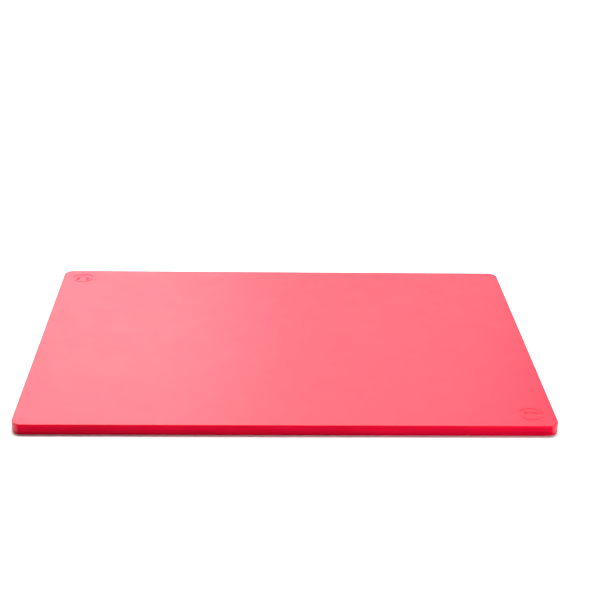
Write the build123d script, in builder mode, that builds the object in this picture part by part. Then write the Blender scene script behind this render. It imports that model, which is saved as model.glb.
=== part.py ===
from build123d import *

import os

# A reversible catering cutting board: one solid slab of red polyethylene.
# The board lies flat. +X runs along its long side, +Y from its front edge to its back edge and +Z up.
# The origin is the middle of the underside, where the board rests. Lengths are in millimetres.

# Driving dimensions of the slab
LENGTH = 600.0
WIDTH = 450.0
THICKNESS = 12.7
CORNER_RADIUS = 12.0
RIM_RADIUS = 0.5

# A round mark is sunk into two opposite corners of each working face.
MARK_DIAMETER = 28.0
MARK_INSET = 27.0  # from the board's edges to the middle of the mark
MARK_DEPTH = 0.5
RING_WIDTH = 1.2

MARK_X = LENGTH / 2 - MARK_INSET
MARK_Y = WIDTH / 2 - MARK_INSET


def steer_head():
    """A plain steer's head in outline, the usual sign for raw meat."""
    poll = (0, 4.0)
    horn_top = (2.2, 4.0)
    horn_tip = (7.7, 8.6)
    horn_base = (4.0, 2.8)
    ear_top = (4.0, 2.1)
    ear_tip = (8.4, 0.8)
    ear_base = (4.3, -0.4)
    muzzle = (2.6, -6.4)
    chin = (0, -9.2)
    with BuildSketch() as head:
        with BuildLine():
            Line(poll, horn_top)
            ThreePointArc(horn_top, (5.7, 5.1), horn_tip)
            ThreePointArc(horn_tip, (7.6, 5.1), horn_base)
            Line(horn_base, ear_top)
            ThreePointArc(ear_top, (6.2, 2.1), ear_tip)
            ThreePointArc(ear_tip, (6.3, -0.6), ear_base)
            Line(ear_base, muzzle)
            ThreePointArc(muzzle, (1.9, -8.5), chin)
            mirror(about=Plane.YZ)
        make_face()
    return head.sketch


def round_mark():
    """The whole mark: the steer's head inside a thin ring."""
    radius = MARK_DIAMETER / 2
    with BuildSketch() as mark:
        Circle(radius)
        Circle(radius - RING_WIDTH, mode=Mode.SUBTRACT)
        add(steer_head())
    return mark.sketch


mark = round_mark()

with BuildPart() as cutting_board:
    with BuildSketch():
        RectangleRounded(LENGTH, WIDTH, CORNER_RADIUS)
    extrude(amount=THICKNESS)
    working_faces = cutting_board.faces().filter_by(Axis.Z)
    fillet(working_faces.edges(), RIM_RADIUS)

    # The board looks the same turned over about its long axis, or turned half round on the worktop.
    upper_side = Plane.XY.offset(THICKNESS)
    underside = Plane(origin=(0, 0, 0), x_dir=(1, 0, 0), z_dir=(0, 0, -1))
    for side in (upper_side, underside):
        with BuildSketch(side):
            with Locations(Location((MARK_X, -MARK_Y), 0), Location((-MARK_X, MARK_Y), 180)):
                add(mark)
        extrude(amount=-MARK_DEPTH, mode=Mode.SUBTRACT)

cutting_board.part.label = "cutting_board"
os.makedirs("parts", exist_ok=True)
export_step(cutting_board.part, "parts/cutting_board.step")
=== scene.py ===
"""The looks of the red catering cutting board: its fine mesh, its plastic, the floor, the lights and the camera.

Everything is in metres in the frame of the CAD model. +X runs along the board's long side, +Y from its
front edge to its back edge and +Z up; the board rests on z = 0.
"""

import math

import bmesh
import bpy
from mathutils import Matrix, Quaternion, Vector
from mathutils.geometry import delaunay_2d_cdt


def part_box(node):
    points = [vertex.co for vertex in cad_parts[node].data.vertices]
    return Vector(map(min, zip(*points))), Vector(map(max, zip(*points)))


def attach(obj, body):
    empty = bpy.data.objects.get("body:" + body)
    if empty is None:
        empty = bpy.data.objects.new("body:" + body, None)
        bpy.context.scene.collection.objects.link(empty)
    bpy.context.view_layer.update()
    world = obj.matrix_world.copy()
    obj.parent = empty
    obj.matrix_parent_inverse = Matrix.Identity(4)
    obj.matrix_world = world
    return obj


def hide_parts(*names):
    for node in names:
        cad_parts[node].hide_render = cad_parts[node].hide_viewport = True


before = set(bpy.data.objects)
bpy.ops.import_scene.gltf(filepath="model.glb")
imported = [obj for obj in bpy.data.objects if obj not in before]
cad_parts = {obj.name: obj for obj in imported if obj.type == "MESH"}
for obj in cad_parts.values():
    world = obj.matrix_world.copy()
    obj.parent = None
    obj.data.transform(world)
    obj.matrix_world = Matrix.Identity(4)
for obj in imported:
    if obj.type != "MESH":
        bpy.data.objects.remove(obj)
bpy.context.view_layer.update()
low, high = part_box("cutting_board")
MM = 0.001

# The slab, as in the CAD model
LENGTH, WIDTH, THICKNESS = high - low
CORNER_RADIUS = 12 * MM
RIM_RADIUS = 0.5 * MM
CORNER_STEPS = 20
RIM_STEPS = 5
SIDE_STEP = 20 * MM  # length of a mesh edge along the straight sides, and the pitch of the flat faces

# The round marks, as in the CAD model, with the soft shoulders that a hot stamp leaves
MARK_RADIUS = 14 * MM
MARK_INSET = 27 * MM
MARK_DEPTH = 0.5 * MM
RING_WIDTH = 1.2 * MM
SHOULDER = 0.2 * MM
SHOULDER_STEPS = 6
RING_POINTS = 120
HEAD_STEP = 0.35  # length of a mesh edge along the steer's head, in millimetres
MITRE_LIMIT = 2.0  # how much further than its sides a sharp corner's shoulder may reach

# The stage
FLOOR_SIZE = 2.8  # it ends while it is still white, and the surroundings go on from there
FLOOR_GAP = 0.02 * MM  # under the board, so that no two faces coincide
SURROUNDINGS_LIGHT = 0.12  # how strongly the surroundings light the board
SURROUNDINGS_SEEN = 1.2  # how bright they are to look at: plain white


# ---- Outlines: lists of (point, outward direction) in the plane, counter-clockwise

def turned(angle):
    """The unit vector at this angle from +X."""
    return Vector((math.cos(angle), math.sin(angle)))


def rounded_rectangle():
    """The slab's outline, with its straight sides divided too."""
    outline = []
    half = Vector((LENGTH / 2 - CORNER_RADIUS, WIDTH / 2 - CORNER_RADIUS))
    corners = [Vector((half.x * sx, half.y * sy)) for sx, sy in ((1, 1), (-1, 1), (-1, -1), (1, -1))]
    for quarter, corner in enumerate(corners):
        for step in range(CORNER_STEPS + 1):
            out = turned((quarter + step / CORNER_STEPS) * math.pi / 2)
            outline.append((corner + CORNER_RADIUS * out, out))
        following = corners[(quarter + 1) % 4]
        divisions = round((following - corner).length / SIDE_STEP)
        for step in range(1, divisions):
            along = corner.lerp(following, step / divisions)
            outline.append((along + CORNER_RADIUS * out, out))
    return outline


def circle(radius):
    outs = [turned(2 * math.pi * step / RING_POINTS) for step in range(RING_POINTS)]
    return [(radius * out, out) for out in outs]


def arc(start, through, end, step):
    """Points from start towards end, on the circle through all three; end itself is left out."""
    a, b, c = Vector(start), Vector(through), Vector(end)
    spread = 2 * (a.x * (b.y - c.y) + b.x * (c.y - a.y) + c.x * (a.y - b.y))
    centre = Vector((
        (a.length_squared * (b.y - c.y) + b.length_squared * (c.y - a.y) + c.length_squared * (a.y - b.y)),
        (a.length_squared * (c.x - b.x) + b.length_squared * (a.x - c.x) + c.length_squared * (b.x - a.x)),
    )) / spread
    sweep = (b - centre).angle_signed(a - centre) + (c - centre).angle_signed(b - centre)
    count = max(2, math.ceil(abs(sweep) * (a - centre).length / step))
    return [centre + Matrix.Rotation(sweep * i / count, 2) @ (a - centre) for i in range(count)]


def line(start, end, step):
    """Points from start towards end; end itself is left out."""
    a, b = Vector(start), Vector(end)
    count = max(1, math.ceil((b - a).length / step))
    return [a.lerp(b, i / count) for i in range(count)]


def steer_head():
    """A plain steer's head, the usual sign for raw meat. Its points are in millimetres, as in the CAD model."""
    poll, horn_top, horn_tip, horn_base = (0, 4.0), (2.2, 4.0), (7.7, 8.6), (4.0, 2.8)
    ear_top, ear_tip, ear_base = (4.0, 2.1), (8.4, 0.8), (4.3, -0.4)
    muzzle, chin = (2.6, -6.4), (0, -9.2)
    right = line(poll, horn_top, HEAD_STEP)
    right += arc(horn_top, (5.7, 5.1), horn_tip, HEAD_STEP)
    right += arc(horn_tip, (7.6, 5.1), horn_base, HEAD_STEP)
    right += line(horn_base, ear_top, 3 * HEAD_STEP)  # undivided, or its shoulder would cross itself
    right += arc(ear_top, (6.2, 2.1), ear_tip, HEAD_STEP)
    right += arc(ear_tip, (6.3, -0.6), ear_base, HEAD_STEP)
    right += line(ear_base, muzzle, HEAD_STEP)
    right += arc(muzzle, (1.9, -8.5), chin, HEAD_STEP)
    left = [Vector((-p.x, p.y)) for p in reversed(right[1:])]
    clockwise = right + [Vector(chin)] + left
    points = [p * MM for p in reversed(clockwise)]
    outline = []
    for i, point in enumerate(points):
        before = (point - points[i - 1]).normalized()
        after = (points[(i + 1) % len(points)] - point).normalized()
        along = (before + after).normalized()
        sharpness = min(MITRE_LIMIT, 1 / max(0.01, along.dot(after)))
        outline.append((point, Vector((along.y, -along.x)) * sharpness))
    return outline


# ---- The mesh: rings of vertices, each with its exact normal

class Skin:
    """A bmesh under construction, with one exact normal for each vertex."""

    def __init__(self):
        self.mesh = bmesh.new()
        self.normal = self.mesh.verts.layers.float_vector.new("exact_normal")

    def vert(self, flat, z, normal):
        made = self.mesh.verts.new((flat.x, flat.y, z))
        made[self.normal] = normal.normalized()
        return made

    def face(self, verts, zone):
        self.mesh.faces.new(verts).material_index = zone

    def band(self, lower, upper, zone):
        """Quads between two rings of the same number of vertices."""
        for i in range(len(lower)):
            self.face((lower[i - 1], lower[i], upper[i], upper[i - 1]), zone)

    def flat(self, outer, holes, z, zone):
        """Fills the flat stretch inside one ring and outside the others with even triangles."""
        rings = [outer] + holes
        verts = [v for ring in rings for v in ring]
        loops = []
        for ring in rings:
            first = sum(len(loop) for loop in loops)
            loops.append(list(range(first, first + len(ring))))
        points = [v.co.xy for v in verts] + self.spread(outer, holes)
        placed, _, faces, origins, _, inside = delaunay_2d_cdt(points, [], loops, 0, 1e-9)
        kept = [verts[origin[0]] if origin and origin[0] < len(verts) else None for origin in origins]
        for face, regions in zip(faces, inside):
            if 0 not in regions or any(hole in regions for hole in range(1, len(rings))):
                continue
            for i in face:
                if kept[i] is None:
                    kept[i] = self.vert(placed[i], z, Vector((0, 0, 1)))
            self.face([kept[i] for i in face], zone)

    def spread(self, outer, holes):
        """Even points inside the outer ring, in staggered rows, that stay clear of every ring."""
        edge = [v.co.xy for ring in [outer] + holes for v in ring]
        lowest = Vector((min(p.x for p in edge), min(p.y for p in edge)))
        highest = Vector((max(p.x for p in edge), max(p.y for p in edge)))
        if (highest - lowest).length < 4 * SIDE_STEP:
            return []
        clear = SIDE_STEP * 0.6
        points = []
        rows = round((highest.y - lowest.y) / SIDE_STEP)
        columns = round((highest.x - lowest.x) / SIDE_STEP)
        for row in range(1, rows):
            for column in range(1, columns):
                shift = 0.25 if row % 2 else -0.25
                x = lowest.x + (column + shift) * (highest.x - lowest.x) / columns
                y = lowest.y + row * (highest.y - lowest.y) / rows
                if all((p - Vector((x, y))).length > clear for p in edge):
                    points.append(Vector((x, y)))
        return points


FACE_ZONE = 0
EDGE_ZONE = 1
CORNER_ZONE = 2
CORNER_START = math.sin(math.radians(20))  # how far round a corner its smoother finish begins


def upper_half_rim(skin):
    """From half the slab's height up its side and over the rim; returns the first and last rings."""
    outline = rounded_rectangle()
    rings = []
    rings.append([skin.vert(p, THICKNESS / 2, out.to_3d()) for p, out in outline])
    for step in range(RIM_STEPS + 1):
        tilt = step / RIM_STEPS * math.pi / 2
        inset = RIM_RADIUS * (1 - math.cos(tilt))
        z = THICKNESS - RIM_RADIUS * (1 - math.sin(tilt))
        rise = Vector((0, 0, math.sin(tilt)))
        rings.append([skin.vert(p - out * inset, z, out.to_3d() * math.cos(tilt) + rise) for p, out in outline])
    for i, (_, out) in enumerate(outline):
        rounding = min(abs(out.x), abs(out.y)) > CORNER_START
        quad = (rings[0][i - 1], rings[0][i], rings[1][i], rings[1][i - 1])
        skin.face(quad, CORNER_ZONE if rounding else EDGE_ZONE)
    for lower, upper in zip(rings[1:], rings[2:]):
        skin.band(lower, upper, FACE_ZONE)
    return rings[0], rings[-1]


def shoulder(skin, outline, side):
    """The soft wall from a mark's floor up to the face; side is 1 where the face lies outside the outline.

    Returns the ring at the floor and the ring at the face.
    """
    rings = []
    for step in range(SHOULDER_STEPS + 1):
        t = step / SHOULDER_STEPS
        z = THICKNESS - MARK_DEPTH * (1 - t * t * (3 - 2 * t))
        slope = MARK_DEPTH / SHOULDER * 6 * t * (1 - t)
        ring = []
        for point, out in outline:
            away = out * side
            normal = Vector((0, 0, 1)) - (away.normalized() * slope).to_3d()
            ring.append(skin.vert(point + away * SHOULDER * t, z, normal))
        rings.append(ring)
    for lower, upper in zip(rings, rings[1:]):
        if side > 0:
            skin.band(lower, upper, FACE_ZONE)
        else:
            skin.band(upper, lower, FACE_ZONE)
    return rings[0], rings[-1]


def sunk_mark(skin, centre, angle):
    """One round mark, sunk into the upper face; returns its outermost ring."""
    place = Matrix.Rotation(angle, 2)

    def placed(outline):
        return [(centre + place @ p, place @ out) for p, out in outline]

    outer_floor, outer_lip = shoulder(skin, placed(circle(MARK_RADIUS)), 1)
    inner_floor, inner_lip = shoulder(skin, placed(circle(MARK_RADIUS - RING_WIDTH)), -1)
    head_floor, head_lip = shoulder(skin, placed(steer_head()), 1)
    skin.band(inner_floor, outer_floor, FACE_ZONE)
    skin.flat(inner_lip, [head_lip], THICKNESS, FACE_ZONE)
    skin.flat(head_floor, [], THICKNESS - MARK_DEPTH, FACE_ZONE)
    return outer_lip


def board_mesh():
    """The whole slab: its upper half, and the same half turned over about the long axis."""
    skin = Skin()
    middle, rim = upper_half_rim(skin)
    corner = Vector((LENGTH / 2 - MARK_INSET, MARK_INSET - WIDTH / 2))
    marks = [sunk_mark(skin, corner, 0), sunk_mark(skin, -corner, math.pi)]
    skin.flat(rim, marks, THICKNESS, FACE_ZONE)
    bmesh.ops.recalc_face_normals(skin.mesh, faces=skin.mesh.faces)

    long_axis = Vector((0, 0, THICKNESS / 2))
    turn_over = Matrix.Rotation(math.pi, 3, "X")
    copied = bmesh.ops.duplicate(skin.mesh, geom=skin.mesh.verts[:] + skin.mesh.edges[:] + skin.mesh.faces[:])
    lower_half = [e for e in copied["geom"] if isinstance(e, bmesh.types.BMVert)]
    bmesh.ops.rotate(skin.mesh, verts=lower_half, cent=long_axis, matrix=turn_over)
    for v in lower_half:
        v[skin.normal] = turn_over @ v[skin.normal]
    bmesh.ops.remove_doubles(skin.mesh, verts=skin.mesh.verts, dist=0.001 * MM)

    mesh = bpy.data.meshes.new("cutting_board_slab")
    normals = [v[skin.normal].copy() for v in skin.mesh.verts]
    skin.mesh.to_mesh(mesh)
    skin.mesh.free()
    mesh.attributes.remove(mesh.attributes["exact_normal"])
    mesh.shade_smooth()
    mesh.normals_split_custom_set_from_vertices(normals)
    return mesh


# ---- Materials

class Nodes:
    """A short way to write a material's node tree."""

    def __init__(self, name):
        self.material = bpy.data.materials.new(name)
        self.material.use_nodes = True
        self.tree = self.material.node_tree
        self.shader = self.tree.nodes["Principled BSDF"]

    def add(self, kind, inputs=(), **settings):
        node = self.tree.nodes.new(kind)
        for key, value in settings.items():
            setattr(node, key, value)
        for key, value in dict(inputs).items():
            self.feed(node, key, value)
        return node

    def feed(self, node, key, value):
        """Sets a socket, or links it where the value is another node's output."""
        if isinstance(value, bpy.types.NodeSocket):
            self.tree.links.new(value, node.inputs[key])
        else:
            node.inputs[key].default_value = value


def noise(nodes, scale, stretch=(1, 1, 1), detail=2.0):
    """Noise in the board's own space; scale is in cells per metre."""
    place = nodes.add("ShaderNodeTexCoord")
    mapping = nodes.add("ShaderNodeMapping", {"Vector": place.outputs["Object"], "Scale": stretch})
    found = nodes.add(
        "ShaderNodeTexNoise",
        {"Vector": mapping.outputs["Vector"], "Scale": scale, "Detail": detail, "Roughness": 0.55},
    )
    return found.outputs["Fac"]


def between(nodes, value, low_end, high_end):
    """The value's range from 0.3 to 0.7, where noise mostly lies, spread between the two ends."""
    node = nodes.add(
        "ShaderNodeMapRange",
        {"Value": value, "From Min": 0.3, "From Max": 0.7, "To Min": low_end, "To Max": high_end},
    )
    return node.outputs["Result"]


RED = (0.82, 0.002, 0.041, 1)
RED_DEEP = (0.79, 0.0019, 0.038, 1)
RED_STREAK = (0.67, 0.0015, 0.031, 1)


def polyethylene(name, specular, roughness):
    """Solid red polyethylene; roughness is its (lowest, highest) value, which drifts over the surface."""
    nodes = Nodes(name)
    shader = nodes.shader
    shader.inputs["Specular IOR Level"].default_value = specular
    shader.inputs["Subsurface Weight"].default_value = 1.0
    shader.inputs["Subsurface Radius"].default_value = (1.0, 0.12, 0.2)
    shader.inputs["Subsurface Scale"].default_value = 5.0 * MM
    drift = noise(nodes, 14)
    tint = nodes.add("ShaderNodeMix", {"Factor": between(nodes, drift, 0, 1)}, data_type="RGBA")
    tint.inputs["A"].default_value = RED_DEEP
    tint.inputs["B"].default_value = RED
    nodes.feed(shader, "Base Color", tint.outputs["Result"])
    nodes.feed(shader, "Roughness", between(nodes, noise(nodes, 45), *roughness))
    return nodes


def moulded_face():
    """The pressed faces: a fine even grain."""
    nodes = polyethylene("moulded_polyethylene", 0.5, (0.32, 0.37))
    grain = noise(nodes, 1 / (1.1 * MM), detail=1.0)
    bump = nodes.add("ShaderNodeBump", {"Height": grain, "Strength": 1.0, "Distance": 0.02 * MM})
    nodes.feed(nodes.shader, "Normal", bump.outputs["Normal"])
    return nodes.material


def routed_side(name, specular):
    """The side, cut by a router: faint lines run along it. A lower specular looks duller."""
    nodes = polyethylene(name, specular, (0.34, 0.42))
    lines = noise(nodes, 1 / (1.6 * MM), stretch=(0.02, 0.02, 1), detail=1.5)
    plain = nodes.shader.inputs["Base Color"].links[0].from_socket
    streaked = nodes.add("ShaderNodeMix", {"Factor": between(nodes, lines, 0, 1)}, data_type="RGBA")
    nodes.feed(streaked, "A", plain)
    streaked.inputs["B"].default_value = RED_STREAK
    nodes.feed(nodes.shader, "Base Color", streaked.outputs["Result"])
    bump = nodes.add("ShaderNodeBump", {"Height": lines, "Strength": 1.0, "Distance": 0.02 * MM})
    nodes.feed(nodes.shader, "Normal", bump.outputs["Normal"])
    return nodes.material


def make_board():
    board = bpy.data.objects.new("cutting_board_slab", board_mesh())
    bpy.context.scene.collection.objects.link(board)
    board.data.materials.append(moulded_face())
    board.data.materials.append(routed_side("routed_polyethylene", 0.03))
    board.data.materials.append(routed_side("routed_corner_polyethylene", 0.4))
    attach(board, "root")
    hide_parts("cutting_board")


# ---- Floor, light and camera

def make_floor():
    mesh = bpy.data.meshes.new("floor")
    skin = bmesh.new()
    bmesh.ops.create_grid(skin, x_segments=1, y_segments=1, size=FLOOR_SIZE / 2)
    skin.to_mesh(mesh)
    skin.free()
    floor = bpy.data.objects.new("floor", mesh)
    floor.location.z = -FLOOR_GAP
    bpy.context.scene.collection.objects.link(floor)
    nodes = Nodes("white_sweep")
    nodes.shader.inputs["Base Color"].default_value = (0.95, 0.95, 0.95, 1)
    nodes.shader.inputs["Roughness"].default_value = 0.9
    nodes.shader.inputs["Specular IOR Level"].default_value = 0.1
    mesh.materials.append(nodes.material)


def softbox(name, place, aim, width, height, radiance):
    """A soft rectangular light at place, turned to aim; radiance 1 is as bright as a white wall in full light."""
    light = bpy.data.lights.new(name, "AREA")
    light.shape = "RECTANGLE"
    light.size = width
    light.size_y = height
    light.energy = radiance * math.pi * width * height
    lamp = bpy.data.objects.new(name, light)
    lamp.location = place
    lamp.rotation_mode = "QUATERNION"
    lamp.rotation_quaternion = (Vector(aim) - Vector(place)).to_track_quat("-Z", "Y")
    bpy.context.scene.collection.objects.link(lamp)


def around(azimuth, distance, height):
    """A place at this distance from the upright axis; azimuth is from straight behind towards +X, in degrees."""
    angle = math.radians(azimuth)
    return Vector((distance * math.sin(angle), distance * math.cos(angle), height))


def make_light():
    world = bpy.data.worlds.new("dim_studio")
    bpy.context.scene.world = world
    world.use_nodes = True
    background = world.node_tree.nodes["Background"]
    background.inputs["Color"].default_value = (1, 1, 1, 1)
    ray = world.node_tree.nodes.new("ShaderNodeLightPath")
    strength = world.node_tree.nodes.new("ShaderNodeMapRange")
    strength.inputs["To Min"].default_value = SURROUNDINGS_LIGHT
    strength.inputs["To Max"].default_value = SURROUNDINGS_SEEN
    world.node_tree.links.new(ray.outputs["Is Camera Ray"], strength.inputs["Value"])
    world.node_tree.links.new(strength.outputs["Result"], background.inputs["Strength"])
    softbox("sheen", around(-4, 3.0, 1.75), (0, 0, 1.75), 2.6, 1.7, 1.84)
    softbox("sheen_left", around(-12, 3.0, 1.65), (0, 0, 1.65), 1.0, 1.5, 1.78)
    softbox("key", around(0, 1.87, 4.64), (0, 0, 0), 4.0, 2.0, 17.5)
    softbox("fill_right", around(140, 0.94, 0.34), (0, 0, 0), 0.4, 0.3, 5.6)


def make_camera():
    aim = Vector((0.0233, 0.1267, 0.012))
    distance = 1.7874
    azimuth, elevation, roll = math.radians(1.826), math.radians(22.923), math.radians(1.045)
    forward = Vector((
        math.sin(azimuth) * math.cos(elevation),
        math.cos(azimuth) * math.cos(elevation),
        -math.sin(elevation),
    ))
    data = bpy.data.cameras.new("camera")
    data.sensor_width = 36
    data.lens = 80.54
    camera = bpy.data.objects.new("camera", data)
    camera.location = aim - distance * forward
    camera.rotation_mode = "QUATERNION"
    camera.rotation_quaternion = forward.to_track_quat("-Z", "Y") @ Quaternion((0, 0, 1), roll)
    bpy.context.scene.collection.objects.link(camera)
    bpy.context.scene.camera = camera
    bpy.context.scene.view_settings.view_transform = "Standard"


make_camera()
make_board()
make_floor()
make_light()
